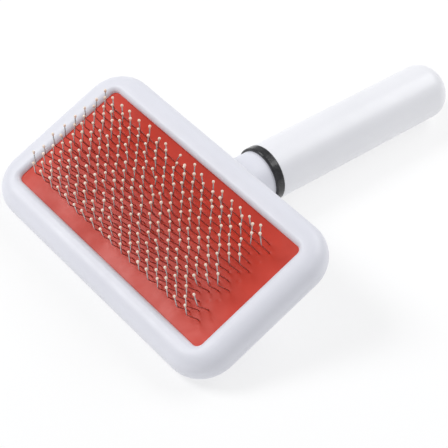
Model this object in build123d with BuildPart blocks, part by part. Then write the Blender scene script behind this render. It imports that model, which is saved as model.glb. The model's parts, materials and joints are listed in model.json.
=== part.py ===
from build123d import *
from math import cos, radians, sin
import os

# A slicker brush for grooming pets, in millimetres.
#
# The brush is built with its head flat: the outer face of the rubber pad lies in the XY plane
# with the pins rising along +Z, X runs along the head and +Y points to the handle. The handle
# leans back from the head in the plane of symmetry, X = 0. At the end every piece is turned
# together into the way the brush lies on a table, on the back edge of its head and the end of
# its handle, with the origin below the middle of the whole brush.

# ---- driving dimensions ----

# Opening of the frame, which shows the pad, and the rim around it
opening_length = 107.5
opening_width = 50.0
opening_corner = 2.5
rim_width = 10.25
head_corner = 15.0

# Heights on the head, measured from the face of the pad
frame_top = 2.0
parting_height = -5.0
back_height = -10.5
frame_round = 6.6
lip_round = 2.2
back_round = 5.0

# Walls of the two shells and how they lock together
wall = 2.0
pocket_wall = 1.5
groove_roof = -1.5
tongue_height = 2.5
tongue_width = 1.2
gap = 0.1

# Rubber pad, its canvas backing and the tray behind them
pad_overlap = 3.0
pad_corner = 3.0
rubber_thickness = 1.8
canvas_thickness = 0.9
tray_rim = 3.0
tray_recess = 1.0
tray_floor = 1.7

# Pins: wires with a flat head under the canvas, bent back once at the knee. The outermost rows
# lean outward by the splay, in degrees, and the rows between them by less.
wire_radius = 0.225
pin_head_radius = 0.65
pin_head_thickness = 0.3
pin_head_play = 0.1
bend_height = 0.5
knee_height = 8.0
knee_setback = 1.86
tip_height = 13.45
tip_setback = 0.2
bend_radius = 1.2
pin_hole_radius = 0.43
splay = 4.7

# Coated tips of the pins: a ball with a short skirt that runs down the wire
ball_radius = 0.6
skirt_length = 1.2
skirt_radius = 0.28
skirt_angle = 19.0

# The field of pins
rows = 16
pins_in_row = 18
row_pitch = 2.43
pin_pitch = 5.27
field_centre = (-0.5, 0.7)

# Stem, collar ring and handle, all on one axis that leans back from the head
lean = 25.0
axis_y = 34.0
axis_z = -25.9
stem_radius = 10.45
neck_start = 2.5
ring_start = 8.6
ring_width = 3.7
ring_radius = 11.5
ring_round = 0.5
spigot_radius = 8.0
spigot_length = 34.0
spigot_core_radius = 5.0
spigot_chamfer = 1.0
fit_play = 0.05
handle_radius = 11.35
handle_end = 104.0
handle_round = 8.5
handle_wall = 1.8

# Foot of the stem, where it spreads into the back of the head, and its waist on the way
foot_y = 5.5
foot_radii = (17.5, 24.0)
foot_fillet = 2.5
waist_y = 19.5
waist_z = -20.2
waist_lean = 57.5
waist_radii = (12.6, 14.2)

# Ribs on the floor of the back shell, which hold up the tray
rib_thickness = 1.4
rib_pitch_x = 26.0
rib_pitch_y = 18.0
ribs_across = 4
ribs_along = 2

# Key of the collar ring, seated in a notch in the mouth of the handle
key_angle = 218.0
key_width = 2.0
key_length = 0.9
key_depth = 1.8
key_inset = 0.3

# How the brush lies at rest
tilt = 24.2

# Half the height of the thin slab in which the edges at the back of the head are looked for
hair = 0.01

# ---- sizes that follow ----

head_length = opening_length + 2 * rim_width
head_width = opening_width + 2 * rim_width
pad_length = opening_length + 2 * pad_overlap
pad_width = opening_width + 2 * pad_overlap
canvas_bottom = -rubber_thickness - canvas_thickness
tray_bottom = canvas_bottom - tray_recess - tray_floor
floor_top = back_height + wall
tray_wall = wall + gap + tongue_width
foot_height = back_height + wall / 2
pocket_length = pad_length + 2 * gap
pocket_width = pad_width + 2 * gap
ring_end = ring_start + ring_width
spigot_end = ring_start + spigot_length
key_centre = ring_radius - key_inset - key_depth / 2
middle_row = (rows - 1) / 2

# The plane that holds the axis of the handle: its own Y runs along that axis
grip = Plane(
    origin=(0, axis_y, axis_z),
    x_dir=(1, 0, 0),
    z_dir=(0, sin(radians(lean)), cos(radians(lean))),
)
grip_axis = Axis(grip.origin, grip.y_dir)


def across(station):
    """A plane square to the handle's axis, with its X kept along the head."""
    centre = grip.origin + grip.y_dir * station
    return Plane(origin=centre, x_dir=(1, 0, 0), z_dir=grip.y_dir)


def sloping(y, z, angle):
    """A plane through a point on the plane of symmetry, which faces back at an angle below +Y."""
    facing = (0, cos(radians(angle)), -sin(radians(angle)))
    return Plane(origin=(0, y, z), x_dir=(1, 0, 0), z_dir=facing)


# ---- front frame: the rounded rim that clamps the pad ----

with BuildPart() as front_frame:
    with BuildSketch(Plane.XY.offset(parting_height)):
        RectangleRounded(head_length, head_width, head_corner)
    extrude(amount=frame_top - parting_height)
    fillet(front_frame.faces().sort_by(Axis.Z)[-1].edges(), frame_round)
    # the opening
    with BuildSketch(Plane.XY.offset(frame_top)):
        RectangleRounded(opening_length, opening_width, opening_corner)
    extrude(amount=parting_height - frame_top, mode=Mode.SUBTRACT)
    fillet(front_frame.faces().sort_by(Axis.Z)[-1].inner_wires().edges(), lip_round)
    # the pocket that the pad and its tray sit in
    with BuildSketch(Plane.XY.offset(parting_height)):
        RectangleRounded(pocket_length, pocket_width, pad_corner)
    extrude(amount=-parting_height, mode=Mode.SUBTRACT)
    # the groove that takes the tongue of the back shell
    with BuildSketch(Plane.XY.offset(parting_height)):
        RectangleRounded(head_length - 2 * wall, head_width - 2 * wall, head_corner - wall)
        RectangleRounded(
            pocket_length + 2 * pocket_wall,
            pocket_width + 2 * pocket_wall,
            pad_corner + pocket_wall,
            mode=Mode.SUBTRACT,
        )
    extrude(amount=groove_roof - parting_height, mode=Mode.SUBTRACT)

# ---- back shell: a shallow tray with the stem for the handle in one piece ----

with BuildPart() as back_shell:
    # the tray, rounded at the back and hollow behind the pad
    with BuildSketch(Plane.XY.offset(parting_height)):
        RectangleRounded(head_length, head_width, head_corner)
    extrude(amount=back_height - parting_height)
    fillet(back_shell.faces().sort_by(Axis.Z)[0].edges(), back_round)
    with BuildSketch(Plane.XY.offset(parting_height)):
        RectangleRounded(
            head_length - 2 * tray_wall, head_width - 2 * tray_wall, head_corner - tray_wall
        )
    extrude(amount=floor_top - parting_height, mode=Mode.SUBTRACT)
    # the stem, which grows out of the back of the head and narrows to a round neck
    with BuildSketch(sloping(foot_y, foot_height, 90)):
        Ellipse(*foot_radii)
    with BuildSketch(sloping(waist_y, waist_z, waist_lean)):
        Ellipse(*waist_radii)
    with BuildSketch(across(neck_start)):
        Circle(stem_radius)
    with BuildSketch(across(ring_start)):
        Circle(stem_radius)
    loft()
    back_edges = back_shell.edges().filter_by_position(Axis.Z, back_height - hair, back_height + hair)
    fillet(back_edges.filter_by(GeomType.BSPLINE), foot_fillet)
    # the spigot that the ring and the handle slide onto
    with BuildSketch(grip):
        with BuildLine():
            Polyline(
                (0, neck_start),
                (spigot_radius, neck_start),
                (spigot_radius, spigot_end - spigot_chamfer),
                (spigot_radius - spigot_chamfer, spigot_end),
                (0, spigot_end),
                close=True,
            )
        make_face()
    revolve(axis=grip_axis)
    with BuildSketch(across(spigot_end)):
        Circle(spigot_core_radius)
    extrude(amount=-spigot_end, mode=Mode.SUBTRACT)
    # the tongue that locks into the groove of the frame
    with BuildSketch(Plane.XY.offset(parting_height)):
        RectangleRounded(
            head_length - 2 * (wall + gap),
            head_width - 2 * (wall + gap),
            head_corner - wall - gap,
        )
        RectangleRounded(
            head_length - 2 * tray_wall,
            head_width - 2 * tray_wall,
            head_corner - tray_wall,
            mode=Mode.SUBTRACT,
        )
    extrude(amount=tongue_height)
    # ribs
    with BuildSketch(Plane.XY.offset(floor_top)):
        with GridLocations(rib_pitch_x, 0, ribs_across, 1):
            Rectangle(rib_thickness, head_width - 2 * tray_wall)
        with GridLocations(0, rib_pitch_y, 1, ribs_along):
            Rectangle(head_length - 2 * tray_wall, rib_thickness)
    extrude(amount=tray_bottom - floor_top)

# ---- pad tray: the stiff plate behind the pad, with a rim that pinches the pad's border ----

with BuildPart() as pad_tray:
    with BuildSketch(Plane.XY.offset(tray_bottom)):
        RectangleRounded(pad_length, pad_width, pad_corner)
    extrude(amount=canvas_bottom - tray_bottom)
    with BuildSketch(Plane.XY.offset(canvas_bottom)):
        RectangleRounded(pad_length - 2 * tray_rim, pad_width - 2 * tray_rim, pad_corner / 2)
    extrude(amount=-tray_recess, mode=Mode.SUBTRACT)

# ---- places of the pins, row by row from the edge away from the handle ----


def row_y(row):
    """Y of a row of pins, the first row being 0."""
    return field_centre[1] + (row - middle_row) * row_pitch


def places(row):
    """Where the pins of a row stand on the pad: each row is offset by half a pitch from the next."""
    stagger = -pin_pitch / 4 if row % 2 else pin_pitch / 4
    first = field_centre[0] + stagger - (pins_in_row - 1) / 2 * pin_pitch
    return [(first + pin * pin_pitch, row_y(row)) for pin in range(pins_in_row)]


all_places = [place for row in range(rows) for place in places(row)]

# ---- rubber pad and its canvas backing, pierced for every pin ----

with BuildPart() as rubber_pad:
    with BuildSketch():
        RectangleRounded(pad_length, pad_width, pad_corner)
        with Locations(*all_places):
            Circle(pin_hole_radius, mode=Mode.SUBTRACT)
    extrude(amount=-rubber_thickness)

with BuildPart() as canvas_backing:
    with BuildSketch(Plane.XY.offset(-rubber_thickness)):
        RectangleRounded(pad_length, pad_width, pad_corner)
        with Locations(*all_places):
            Circle(pin_hole_radius, mode=Mode.SUBTRACT)
    extrude(amount=-canvas_thickness)

# ---- one pin of a row, standing at the origin, and its coated tip ----

head_base = canvas_bottom - pin_head_play - pin_head_thickness


def leaning(y, z, row):
    """A point of a pin, turned about the pin's foot by what its row leans outward."""
    angle = radians(splay * sin(radians(90) * (row / middle_row - 1)))
    return (y * cos(angle) + z * sin(angle), z * cos(angle) - y * sin(angle))


def knee_and_tip(row):
    """Y and Z of the knee of a row's pins and of the middle of the ball on their tips."""
    return leaning(-knee_setback, knee_height, row), leaning(-tip_setback, tip_height, row)


def make_pin(row):
    """A wire with its flat head, bent where it leaves the pad and again at the knee."""
    knee, tip = knee_and_tip(row)
    with BuildPart() as pin:
        with BuildLine(Plane.YZ):
            FilletPolyline((0, head_base), (0, bend_height), knee, tip, radius=bend_radius)
        with BuildSketch(Plane.XY.offset(head_base)):
            Circle(wire_radius)
        sweep()
        with BuildSketch(Plane.XY.offset(head_base)):
            Circle(pin_head_radius)
        extrude(amount=pin_head_thickness)
    return pin


def make_coated_tip(row):
    """A ball with a short skirt that runs down the wire, turned about the end of the wire."""
    knee, tip = knee_and_tip(row)
    tip_point = Vector(0, *tip)
    tip_way = (tip_point - Vector(0, *knee)).normalized()
    along_tip = Plane(origin=tip_point, x_dir=(1, 0, 0), z_dir=Vector(1, 0, 0).cross(tip_way))
    with BuildPart() as coated_tip:
        with BuildSketch(along_tip):
            with BuildLine():
                ball = CenterArc((0, 0), ball_radius, 90, -90 - skirt_angle)
                Polyline(
                    ball @ 1,
                    (skirt_radius, -skirt_length),
                    (wire_radius, -skirt_length),
                    (wire_radius, 0),
                    (0, 0),
                    ball @ 0,
                )
            make_face()
        revolve(axis=Axis(along_tip.origin, along_tip.y_dir))
    return coated_tip


def standing(piece, row):
    """A row of copies of one piece, each on its place on the pad."""
    with BuildPart() as copies:
        with Locations(*places(row)):
            add(piece.part)
    return copies


pin_rows = [standing(make_pin(row), row) for row in range(rows)]
tip_rows = [standing(make_coated_tip(row), row) for row in range(rows)]

# ---- collar ring between the neck and the handle, with the key that stops the handle turning ----

with BuildPart() as collar_ring:
    with BuildSketch(across(ring_start)):
        Circle(ring_radius)
        Circle(spigot_radius + fit_play, mode=Mode.SUBTRACT)
    extrude(amount=ring_width)
    circles = collar_ring.edges().filter_by(GeomType.CIRCLE)
    outer_edges = circles.group_by(SortBy.RADIUS)[-1]
    fillet(outer_edges, ring_round)
    with BuildSketch(across(ring_end - key_depth)):
        with PolarLocations(key_centre, 1, start_angle=key_angle):
            Rectangle(key_depth, key_width)
    extrude(amount=key_depth + key_length)

# ---- handle: a hollow round bar, closed and rounded at its end ----

with BuildPart() as handle:
    with BuildSketch(grip):
        with BuildLine():
            outer_round = CenterArc(
                (handle_radius - handle_round, handle_end - handle_round), handle_round, 0, 90
            )
            inner_round = CenterArc(
                (handle_radius - handle_round, handle_end - handle_round),
                handle_round - handle_wall,
                90,
                -90,
            )
            Polyline(
                inner_round @ 1,
                (handle_radius - handle_wall, spigot_end + handle_wall),
                (spigot_radius + fit_play, spigot_end + handle_wall),
                (spigot_radius + fit_play, ring_end),
                (handle_radius, ring_end),
                outer_round @ 0,
            )
            Polyline(outer_round @ 1, (0, handle_end), (0, handle_end - handle_wall), inner_round @ 0)
        make_face()
    revolve(axis=grip_axis)
    # the notch that takes the key of the collar ring
    with BuildSketch(across(ring_end)):
        with PolarLocations(key_centre, 1, start_angle=key_angle):
            Rectangle(key_depth + 2 * gap, key_width + 2 * gap)
    extrude(amount=key_length + gap, mode=Mode.SUBTRACT)

# ---- lay the brush down and write each piece ----

pieces = {
    "front_frame": front_frame,
    "back_shell": back_shell,
    "pad_tray": pad_tray,
    "rubber_pad": rubber_pad,
    "canvas_backing": canvas_backing,
    "collar_ring": collar_ring,
    "handle": handle,
}
for row in range(rows):
    pieces[f"pin_row_{row + 1:02d}"] = pin_rows[row]
    pieces[f"tip_row_{row + 1:02d}"] = tip_rows[row]

turned = Rot(tilt, 0, 0)
space = Compound([turned * piece.part for piece in pieces.values()]).bounding_box()
at_rest = Pos(-space.center().X, -space.center().Y, -space.min.Z) * turned

os.makedirs("parts", exist_ok=True)
for name, piece in pieces.items():
    piece.part = at_rest * piece.part
    piece.part.label = name
    export_step(piece.part, f"parts/{name}.step")
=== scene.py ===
import json
import math
import random

import bpy
from mathutils import Matrix, Quaternion, Vector


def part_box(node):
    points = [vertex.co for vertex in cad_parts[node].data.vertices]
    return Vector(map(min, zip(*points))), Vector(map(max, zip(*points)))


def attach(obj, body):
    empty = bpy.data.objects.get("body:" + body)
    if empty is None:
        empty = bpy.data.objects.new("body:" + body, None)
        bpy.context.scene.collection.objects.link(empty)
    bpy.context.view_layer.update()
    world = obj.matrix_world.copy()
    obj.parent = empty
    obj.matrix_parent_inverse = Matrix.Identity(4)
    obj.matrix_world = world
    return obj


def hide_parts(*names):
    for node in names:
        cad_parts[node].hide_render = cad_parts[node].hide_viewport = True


# Looks of a slicker brush: moulded white shells, a red rubber pad and rows of kneed wire pins
# with dipped tips. Everything is in metres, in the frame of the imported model.

MM = 0.001

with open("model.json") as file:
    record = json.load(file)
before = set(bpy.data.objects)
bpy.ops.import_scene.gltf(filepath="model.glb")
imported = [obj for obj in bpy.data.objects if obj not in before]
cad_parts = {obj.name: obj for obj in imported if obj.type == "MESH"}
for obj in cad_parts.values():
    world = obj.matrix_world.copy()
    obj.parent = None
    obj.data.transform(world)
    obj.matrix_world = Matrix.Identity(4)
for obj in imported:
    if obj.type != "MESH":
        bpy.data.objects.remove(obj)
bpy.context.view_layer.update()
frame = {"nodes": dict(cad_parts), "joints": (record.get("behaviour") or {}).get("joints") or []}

# ---- the head's own frame, read from the hinges of the pin rows ----

HINGES = sorted(frame["joints"], key=lambda joint: joint["child"])
ROW_BODIES = [hinge["child"] for hinge in HINGES]
PIVOTS = [Vector(hinge["pos_m"]) for hinge in HINGES]
HEAD_X = Vector((1, 0, 0))
HEAD_Y = (PIVOTS[-1] - PIVOTS[0]).normalized()
HEAD_Z = HEAD_X.cross(HEAD_Y)
# The hinges lie this deep under the pad's face, and the field of pins is this far off its middle
PIVOT_DEPTH = 1.35 * MM
FIELD_Y = 0.7 * MM
PAD_CENTRE = (PIVOTS[0] + PIVOTS[-1]) / 2 + HEAD_Z * PIVOT_DEPTH - HEAD_Y * FIELD_Y

# ---- the pad ----

OPENING = Vector((107.5, 50.0)) * MM
RUBBER_THICKNESS = 1.8 * MM
PAD_STEP = 0.55 * MM
# The rubber's bulge, which falls away towards the outermost rows and the short ends
PAD_CROWN = 0.95 * MM
FIELD_HALF = 18.2 * MM
CROWN_END_POWER = 4
# A slight waviness: its height, its phase along the head, and its turns in radians a metre
WAVE_HEIGHT = 0.07 * MM
WAVE_PHASE = 1.3
WAVE_ALONG = 210
WAVE_ACROSS = 160
# The dimple that each wire pulls in the rubber
PUCKER_RADIUS = 0.75 * MM
PUCKER_DEPTH = 0.16 * MM
# How far the rubber stays under the frame that holds it
HELD_DROP = 0.02 * MM
# Side of the squares that pin bases are sorted into, so that a point finds the ones near it
CELL = 2 * MM

# ---- the pins ----

PINS_IN_ROW = 18
WIRE_RADIUS = 0.23 * MM
WIRE_SIDES = 8
BEND_RADIUS = 0.9 * MM
BEND_STEPS = 4
# One pin standing upright, from its foot in the rubber to its tip
PIN_FOOT = -1.4 * MM
BEND_HEIGHT = 0.5 * MM
KNEE = Vector((0, -1.86, 8.0)) * MM
TIP = Vector((0, -0.2, 13.45)) * MM
# The outermost rows lean outward by this many degrees
SPLAY = 4.7
# Radius of the tips in CAD, which sets where a row's first pin stands
CAD_TIP_RADIUS = 0.6 * MM
BALL_RADIUS = 0.55 * MM
BALL_LEAST = 0.92
BALL_MOST = 1.08
BEAD_SIDES = 12
# A bead's outline, as height and width over its radius: a skirt down the wire, then a ball
BEAD_SKIRT = [(-1.95, 0.40), (-1.55, 0.46), (-1.15, 0.62), (-0.8, 0.80), (-0.4, 0.95), (0, 1.0)]
BEAD_DOME_ANGLES = (0.45, 0.85, 1.2)
# How far tips and knees stray, in mm, as the spread of a normal distribution
TIP_STRAY = (0.33, 0.3, 0.15)
KNEE_STRAY = (0.16, 0.14, 0.25)
FIRST_SEED = 100
# A few pins that use has bent: (row, pin), counted from 0, and how far the tip went, in mm
BENT = {
    (15, 7): (0.5, -0.6, -0.2),
    (15, 8): (2.6, 0.2, -1.4),
    (15, 9): (1.2, -1.6, -0.5),
    (14, 8): (1.6, -0.9, -0.3),
    (15, 6): (1.5, -1.0, -0.4),
    (1, 0): (-2.0, 1.2, -1.8),
    (5, 0): (-1.4, 0.6, -0.4),
    (12, 16): (1.5, -0.8, -0.6),
}
# Pins that have come out
LOST = {(3, 17), (4, 17), (8, 17), (12, 17)}

# ---- camera and studio ----

CAMERA_AIM = Vector((0.0009, -0.0240, -0.0022))
CAMERA_AZIMUTH = 47.93
CAMERA_ELEVATION = 44.19
CAMERA_ROLL = 3.57
CAMERA_DISTANCE = 0.6124
CAMERA_LENS = 128.6
CAMERA_SENSOR = 36.0
CAMERA_NEAR = 0.05
CAMERA_FAR = 20.0
FLOOR_HALF = 3
SKY_COLOUR = (0.97, 0.98, 1.0, 1)
SKY_STRENGTH = 0.56


def on_head(x, y, z):
    """A point given in the head's frame, from the middle of the pad's face."""
    return PAD_CENTRE + HEAD_X * x + HEAD_Y * y + HEAD_Z * z


def new_mesh(name, verts, faces):
    mesh = bpy.data.meshes.new(name)
    mesh.from_pydata([tuple(v) for v in verts], [], faces)
    mesh.validate()
    for polygon in mesh.polygons:
        polygon.use_smooth = True
    piece = bpy.data.objects.new(name, mesh)
    bpy.context.scene.collection.objects.link(piece)
    return piece


# ---- materials ----


class Nodes:
    """A short way to build one material's node tree."""

    def __init__(self, name):
        self.material = bpy.data.materials.new(name)
        self.material.use_nodes = True
        self.tree = self.material.node_tree
        self.shader = self.tree.nodes["Principled BSDF"]
        self.place = self.add("ShaderNodeTexCoord").outputs["Object"]

    def add(self, kind, **values):
        node = self.tree.nodes.new(kind)
        for key, value in values.items():
            setattr(node, key, value)
        return node

    def link(self, source, target):
        self.tree.links.new(source, target)

    def set(self, **values):
        """Sets the shader's own sockets, which have the names given with spaces in them."""
        for key, value in values.items():
            self.shader.inputs[key.replace("_", " ")].default_value = value

    def noise(self, scale, detail=3.0, roughness=0.5, stretch=(1, 1, 1)):
        mapping = self.add("ShaderNodeMapping")
        mapping.inputs["Scale"].default_value = stretch
        self.link(self.place, mapping.inputs["Vector"])
        node = self.add("ShaderNodeTexNoise")
        node.inputs["Scale"].default_value = scale
        node.inputs["Detail"].default_value = detail
        node.inputs["Roughness"].default_value = roughness
        self.link(mapping.outputs["Vector"], node.inputs["Vector"])
        return node.outputs["Fac"]

    def spread(self, source, low, high, start=0.3, end=0.7):
        """The source's range start to end turned into low to high."""
        node = self.add("ShaderNodeMapRange")
        node.inputs["From Min"].default_value = start
        node.inputs["From Max"].default_value = end
        node.inputs["To Min"].default_value = low
        node.inputs["To Max"].default_value = high
        self.link(source, node.inputs["Value"])
        return node.outputs["Result"]

    def blend(self, factor, first, second):
        """A colour between two, by a factor that varies over the surface."""
        node = self.add("ShaderNodeMix", data_type="RGBA")
        self.link(factor, node.inputs["Factor"])
        node.inputs["A"].default_value = (*first, 1)
        node.inputs["B"].default_value = (*second, 1)
        return node.outputs["Result"]

    def bump(self, height, strength, distance, under=None):
        node = self.add("ShaderNodeBump")
        node.inputs["Strength"].default_value = strength
        node.inputs["Distance"].default_value = distance
        self.link(height, node.inputs["Height"])
        if under is not None:
            self.link(under, node.inputs["Normal"])
        return node.outputs["Normal"]

    def finish(self, colour, roughness, normal=None):
        self.link(colour, self.shader.inputs["Base Color"])
        self.link(roughness, self.shader.inputs["Roughness"])
        if normal is not None:
            self.link(normal, self.shader.inputs["Normal"])
        return self.material


def moulded_plastic(name, light, dark, low_roughness, high_roughness, ripple):
    """Injection-moulded plastic: a faint cloud of tone, uneven gloss and a very slight ripple."""
    n = Nodes(name)
    n.set(Specular_IOR_Level=0.5, IOR=1.49, Coat_Weight=0.05, Coat_Roughness=0.25)
    n.set(Subsurface_Weight=0.12, Subsurface_Radius=(1.0, 0.95, 1.0), Subsurface_Scale=0.0015)
    colour = n.blend(n.spread(n.noise(38, 4.0), 0, 1), light, dark)
    roughness = n.spread(n.noise(160, 5.0, 0.6), low_roughness, high_roughness)
    flow = n.bump(n.noise(45, 2.0, 0.4, (1.0, 0.6, 1.0)), ripple, 0.0008)
    grain = n.bump(n.noise(2600, 2.0), 0.06, 0.0001, flow)
    return n.finish(colour, roughness, grain)


def red_rubber():
    """Sheet rubber: dull where it is rubbed, a little bloom on it and a fine skin."""
    n = Nodes("red_rubber")
    n.set(Specular_IOR_Level=0.31, IOR=1.5)
    cloud = n.spread(n.noise(55, 5.0, 0.62), 0, 1)
    colour = n.blend(cloud, (0.61, 0.033, 0.011), (0.52, 0.026, 0.008))
    roughness = n.spread(n.noise(110, 4.0, 0.6), 0.32, 0.46)
    waves = n.bump(n.noise(120, 2.0), 0.25, 0.0004)
    skin = n.bump(n.noise(3200, 3.0), 0.12, 0.0001, waves)
    return n.finish(colour, roughness, skin)


def steel_wire():
    """Drawn wire with fine lines along it."""
    n = Nodes("pin_wire")
    n.set(Metallic=1.0)
    colour = n.blend(n.spread(n.noise(900, 3.0), 0, 1), (0.60, 0.59, 0.58), (0.38, 0.37, 0.36))
    roughness = n.spread(n.noise(1500, 2.0), 0.24, 0.42)
    lines = n.bump(n.noise(5000, 1.0, 0.5, (1, 1, 0.08)), 0.2, 0.00005)
    return n.finish(colour, roughness, lines)


def tip_resin():
    """Dipped beads: ivory resin, each a little different in tone."""
    n = Nodes("tip_resin")
    n.set(Specular_IOR_Level=0.5, IOR=1.52, Coat_Weight=0.3, Coat_Roughness=0.1)
    n.set(Subsurface_Weight=0.25, Subsurface_Radius=(1.0, 0.8, 0.55), Subsurface_Scale=0.0006)
    colour = n.blend(n.spread(n.noise(420, 2.0), 0, 1), (0.92, 0.79, 0.68), (0.80, 0.64, 0.52))
    roughness = n.spread(n.noise(900, 3.0), 0.25, 0.45)
    blobs = n.bump(n.noise(1400, 2.0), 0.15, 0.0002)
    return n.finish(colour, roughness, blobs)


def black_collar():
    """Gloss black plastic, rubbed greyer in fine patches."""
    n = Nodes("black_plastic")
    n.set(Specular_IOR_Level=0.4, IOR=1.5, Coat_Weight=0.2, Coat_Roughness=0.08)
    rubbed = n.spread(n.noise(500, 5.0, 0.7), 0, 1, 0.45, 0.8)
    colour = n.blend(rubbed, (0.010, 0.010, 0.012), (0.035, 0.035, 0.037))
    roughness = n.spread(n.noise(700, 5.0, 0.6), 0.12, 0.30)
    scuffs = n.bump(n.noise(1300, 3.0, 0.5, (1, 6, 1)), 0.1, 0.0001)
    return n.finish(colour, roughness, scuffs)


def woven_canvas():
    """Cotton foundation: two sets of threads crossing at right angles."""
    n = Nodes("canvas")
    n.set(Sheen_Weight=0.3, Sheen_Roughness=0.5)
    threads = []
    for direction in ("X", "Y"):
        wave = n.add("ShaderNodeTexWave", bands_direction=direction)
        wave.inputs["Scale"].default_value = 900
        wave.inputs["Distortion"].default_value = 0.6
        n.link(n.place, wave.inputs["Vector"])
        threads.append(wave.outputs["Fac"])
    weave = n.add("ShaderNodeMath", operation="MAXIMUM")
    n.link(threads[0], weave.inputs[0])
    n.link(threads[1], weave.inputs[1])
    colour = n.blend(weave.outputs["Value"], (0.42, 0.37, 0.28), (0.70, 0.65, 0.55))
    roughness = n.spread(n.noise(600, 3.0), 0.8, 0.95)
    return n.finish(colour, roughness, n.bump(weave.outputs["Value"], 0.6, 0.0002))


def studio_floor():
    """A pale matt floor with a glow of its own, so that it shows nearly white."""
    n = Nodes("studio_floor")
    n.set(Specular_IOR_Level=0.1, Emission_Color=(1, 1, 1, 1), Emission_Strength=0.62)
    colour = n.blend(n.spread(n.noise(4, 2.0), 0, 1), (0.37, 0.37, 0.37), (0.35, 0.35, 0.35))
    return n.finish(colour, n.spread(n.noise(9, 2.0), 0.6, 0.7))


def dress(node, material):
    """Puts a finished material on a CAD node."""
    for material_slot in frame["nodes"][node].material_slots:
        material_slot.link = "OBJECT"
        material_slot.material = material


# ---- the rubber pad ----


def crown(x, y):
    """How far the rubber bulges: as the lean of the rows asks for, and flat at the short ends."""
    along = max(0.0, 1 - (2 * abs(x) / OPENING.x) ** CROWN_END_POWER)
    return PAD_CROWN * along * math.cos(math.pi / 2 * (y - FIELD_Y) / FIELD_HALF)


def cell_of(x, y):
    return round(x / CELL), round(y / CELL)


def hole_cells(bases):
    """Pin bases sorted into cells, each also entered in the cells around its own."""
    cells = {}
    for x, y in bases:
        i, j = cell_of(x, y)
        for di in (-1, 0, 1):
            for dj in (-1, 0, 1):
                cells.setdefault((i + di, j + dj), []).append((x, y))
    return cells


def pad_height(x, y, holes):
    """Height of the rubber's face: its crown, a slight waviness and a pucker round each wire."""
    wave = math.sin(x * WAVE_ALONG + WAVE_PHASE) * math.sin(y * WAVE_ACROSS)
    height = crown(x, y) + WAVE_HEIGHT * wave
    for hole_x, hole_y in holes.get(cell_of(x, y), ()):
        distance = math.hypot(x - hole_x, y - hole_y) / PUCKER_RADIUS
        if distance < 1:
            height -= PUCKER_DEPTH * (1 - distance * distance) ** 2
    in_opening = 2 * abs(x) < OPENING.x and 2 * abs(y) < OPENING.y
    return height if in_opening else min(height, -HELD_DROP)


def rubber_pad(bases, material):
    """The rubber as a closed sheet: a shaped face, a flat back and the edge between them."""
    low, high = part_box("rubber_pad")
    half_x = (high.x - low.x) / 2
    half_y = OPENING.y / 2 + half_x - OPENING.x / 2
    nx, ny = round(2 * half_x / PAD_STEP), round(2 * half_y / PAD_STEP)
    holes = hole_cells(bases)
    places = []
    for j in range(ny + 1):
        for i in range(nx + 1):
            places.append((-half_x + 2 * half_x * i / nx, -half_y + 2 * half_y * j / ny))
    verts = [on_head(x, y, pad_height(x, y, holes)) for x, y in places]
    verts += [on_head(x, y, -RUBBER_THICKNESS) for x, y in places]
    count = len(places)
    faces = []
    for j in range(ny):
        for i in range(nx):
            a = j * (nx + 1) + i
            b, c, d = a + 1, a + nx + 2, a + nx + 1
            faces.append((a, b, c, d))
            faces.append((d + count, c + count, b + count, a + count))
    border = list(range(nx + 1))
    border += [j * (nx + 1) + nx for j in range(1, ny + 1)]
    border += [ny * (nx + 1) + i for i in range(nx - 1, -1, -1)]
    border += [j * (nx + 1) for j in range(ny - 1, 0, -1)]
    for a, b in zip(border, border[1:] + border[:1]):
        faces.append((b, a, a + count, b + count))
    pad = new_mesh("red_rubber_pad", verts, faces)
    pad.data.materials.append(material)
    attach(pad, "root")
    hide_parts("rubber_pad")


# ---- the pins ----


def rounded_path(corners):
    """The corners as a list of points, each inner corner turned into a short arc."""
    points = [corners[0]]
    for before, corner, after in zip(corners, corners[1:], corners[2:]):
        back = (before - corner).normalized() * BEND_RADIUS
        ahead = (after - corner).normalized() * BEND_RADIUS
        for k in range(BEND_STEPS + 1):
            t = k / BEND_STEPS
            points.append((corner + back).lerp(corner, t).lerp(corner.lerp(corner + ahead, t), t))
    return points + [corners[-1]]


def ring(centre, way, radius, sides):
    """Points of a circle round a line through its centre."""
    side = way.cross(HEAD_X).normalized()
    other = way.cross(side)
    points = []
    for s in range(sides):
        angle = 2 * math.pi * s / sides
        points.append(centre + (side * math.cos(angle) + other * math.sin(angle)) * radius)
    return points


def join_rings(start, rings, sides, faces):
    """Joins rings of vertices, the first of which begins at start, to their neighbours."""
    for k in range(rings - 1):
        for s in range(sides):
            a = start + k * sides + s
            b = start + k * sides + (s + 1) % sides
            faces.append((a, b, b + sides, a + sides))


def tube(points, verts, faces):
    """Adds a wire along the points, closed at both ends, to a mesh in the making."""
    start = len(verts)
    for k, point in enumerate(points):
        before, after = points[max(k - 1, 0)], points[min(k + 1, len(points) - 1)]
        verts += ring(point, (after - before).normalized(), WIRE_RADIUS, WIRE_SIDES)
    join_rings(start, len(points), WIRE_SIDES, faces)
    last = start + (len(points) - 1) * WIRE_SIDES
    faces.append(tuple(start + s for s in reversed(range(WIRE_SIDES))))
    faces.append(tuple(last + s for s in range(WIRE_SIDES)))


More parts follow.
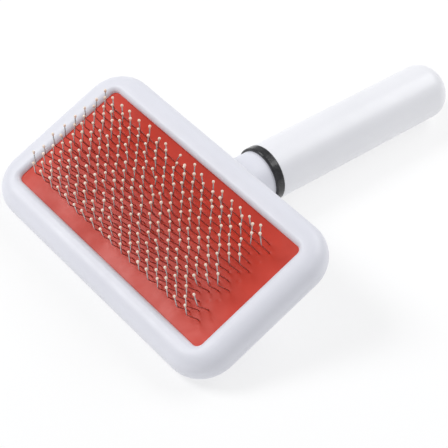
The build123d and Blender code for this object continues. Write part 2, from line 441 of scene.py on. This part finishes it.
def bead(centre, way, size, verts, faces):
    """Adds a dipped tip: a ball that runs down the wire in a short skirt."""
    profile = BEAD_SKIRT + [(math.sin(a), math.cos(a)) for a in BEAD_DOME_ANGLES]
    start = len(verts)
    for height, width in profile:
        verts += ring(centre + way * height * size, way, width * size, BEAD_SIDES)
    top, bottom = len(verts), len(verts) + 1
    verts.append(centre + way * size)
    verts.append(centre + way * size * profile[0][0])
    join_rings(start, len(profile), BEAD_SIDES, faces)
    last = start + (len(profile) - 1) * BEAD_SIDES
    for s in range(BEAD_SIDES):
        following = (s + 1) % BEAD_SIDES
        faces.append((last + s, last + following, top))
        faces.append((start + following, start + s, bottom))


def stray(rng, spreads):
    return Vector([rng.gauss(0, spread) for spread in spreads]) * MM


def pin_row(number, body, wire, resin):
    """One row of wires and its dipped tips, which rock together on the row's hinge."""
    low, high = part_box(f"tip_row_{number + 1:02d}")
    pitch = (high.x - low.x - 2 * CAD_TIP_RADIUS) / (PINS_IN_ROW - 1)
    y = (PIVOTS[number] - PAD_CENTRE).dot(HEAD_Y)
    turn = Matrix((HEAD_X, HEAD_Y, HEAD_Z)).transposed()
    middle = (len(ROW_BODIES) - 1) / 2
    lean = math.radians(SPLAY * math.sin(math.pi / 2 * (number / middle - 1)))
    splayed = Matrix.Rotation(-lean, 3, "X")
    rng = random.Random(FIRST_SEED + number)
    wires, wire_faces, beads, bead_faces, bases = [], [], [], [], []
    for pin in range(PINS_IN_ROW):
        x = low.x + CAD_TIP_RADIUS + pin * pitch
        bases.append((x, y))
        tip_stray, knee_stray = stray(rng, TIP_STRAY), stray(rng, KNEE_STRAY)
        if (number, pin) in LOST:
            continue
        foot = on_head(x, y, crown(x, y))
        knee = splayed @ KNEE + knee_stray
        tip = splayed @ TIP + tip_stray + Vector(BENT.get((number, pin), (0, 0, 0))) * MM
        corners = [Vector((0, 0, PIN_FOOT)), Vector((0, 0, BEND_HEIGHT)), knee, tip]
        path = [foot + turn @ point for point in rounded_path(corners)]
        tube(path, wires, wire_faces)
        way = (turn @ (tip - knee)).normalized()
        bead(path[-1], way, BALL_RADIUS * rng.uniform(BALL_LEAST, BALL_MOST), beads, bead_faces)
    for name, verts, faces, material, node, slot in (
        ("wires", wires, wire_faces, wire, "pin_row", "pin_wire"),
        ("beads", beads, bead_faces, resin, "tip_row", "tip_resin"),
    ):
        piece = new_mesh(f"{name}_{number + 1:02d}", verts, faces)
        piece.data.materials.append(material)
        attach(piece, body)
        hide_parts(f"{node}_{number + 1:02d}")
    return bases


# ---- studio ----


def area_light(name, place, aim, size, power):
    light = bpy.data.lights.new(name, "AREA")
    light.shape = "RECTANGLE"
    light.size, light.size_y = size
    light.energy = power
    lamp = bpy.data.objects.new(name, light)
    lamp.location = place
    lamp.rotation_mode = "QUATERNION"
    lamp.rotation_quaternion = (Vector(aim) - Vector(place)).to_track_quat("-Z", "Y")
    bpy.context.scene.collection.objects.link(lamp)


def studio():
    """A pale floor under an even sky, with a key light and a wider one from the back."""
    corners = ((-1, -1), (1, -1), (1, 1), (-1, 1))
    floor_corners = [(i * FLOOR_HALF, j * FLOOR_HALF, 0) for i, j in corners]
    floor = new_mesh("floor", floor_corners, [(0, 1, 2, 3)])
    floor.data.materials.append(studio_floor())
    world = bpy.data.worlds.new("studio")
    world.use_nodes = True
    sky = world.node_tree.nodes["Background"]
    sky.inputs["Color"].default_value = SKY_COLOUR
    sky.inputs["Strength"].default_value = SKY_STRENGTH
    bpy.context.scene.world = world
    bpy.context.scene.view_settings.view_transform = "Standard"
    area_light("key", (-0.60, -0.55, 0.82), aim=(0, -0.03, 0.02), size=(0.45, 0.45), power=6.0)
    area_light("back", (0.15, 0.90, 0.90), aim=(0, 0, 0.02), size=(0.9, 0.5), power=5.5)


def camera():
    azimuth, elevation = math.radians(CAMERA_AZIMUTH), math.radians(CAMERA_ELEVATION)
    back = Vector(
        (
            math.sin(azimuth) * math.cos(elevation),
            -math.cos(azimuth) * math.cos(elevation),
            math.sin(elevation),
        )
    )
    data = bpy.data.cameras.new("camera")
    data.lens = CAMERA_LENS
    data.sensor_width = CAMERA_SENSOR
    data.clip_start, data.clip_end = CAMERA_NEAR, CAMERA_FAR
    view = bpy.data.objects.new("camera", data)
    view.location = CAMERA_AIM + back * CAMERA_DISTANCE
    view.rotation_mode = "QUATERNION"
    level = (-back).to_track_quat("-Z", "Y")
    view.rotation_quaternion = level @ Quaternion((0, 0, 1), math.radians(CAMERA_ROLL))
    bpy.context.scene.collection.objects.link(view)
    bpy.context.scene.camera = view


# ---- the whole brush ----

white = moulded_plastic(
    "white_plastic",
    light=(0.745, 0.75, 0.81),
    dark=(0.72, 0.725, 0.785),
    low_roughness=0.38,
    high_roughness=0.48,
    ripple=0.03,
)
# The handle gets its own copy of the white plastic, made lighter: that extra lightness is painted
# light, for the light from above and behind that falls on the handle.
handle_lit_white = moulded_plastic(
    "white_handle",
    light=(0.84, 0.842, 0.875),
    dark=(0.815, 0.817, 0.85),
    low_roughness=0.30,
    high_roughness=0.40,
    ripple=0.02,
)
natural = moulded_plastic(
    "natural_plastic",
    light=(0.62, 0.61, 0.58),
    dark=(0.56, 0.55, 0.52),
    low_roughness=0.5,
    high_roughness=0.65,
    ripple=0.2,
)

dress("front_frame", white)
dress("back_shell", white)
dress("handle", handle_lit_white)
dress("pad_tray", natural)
dress("collar_ring", black_collar())
dress("canvas_backing", woven_canvas())

wire, resin = steel_wire(), tip_resin()
all_bases = []
for number, body in enumerate(ROW_BODIES):
    all_bases += pin_row(number, body, wire, resin)
rubber_pad(all_bases, red_rubber())

studio()
camera()
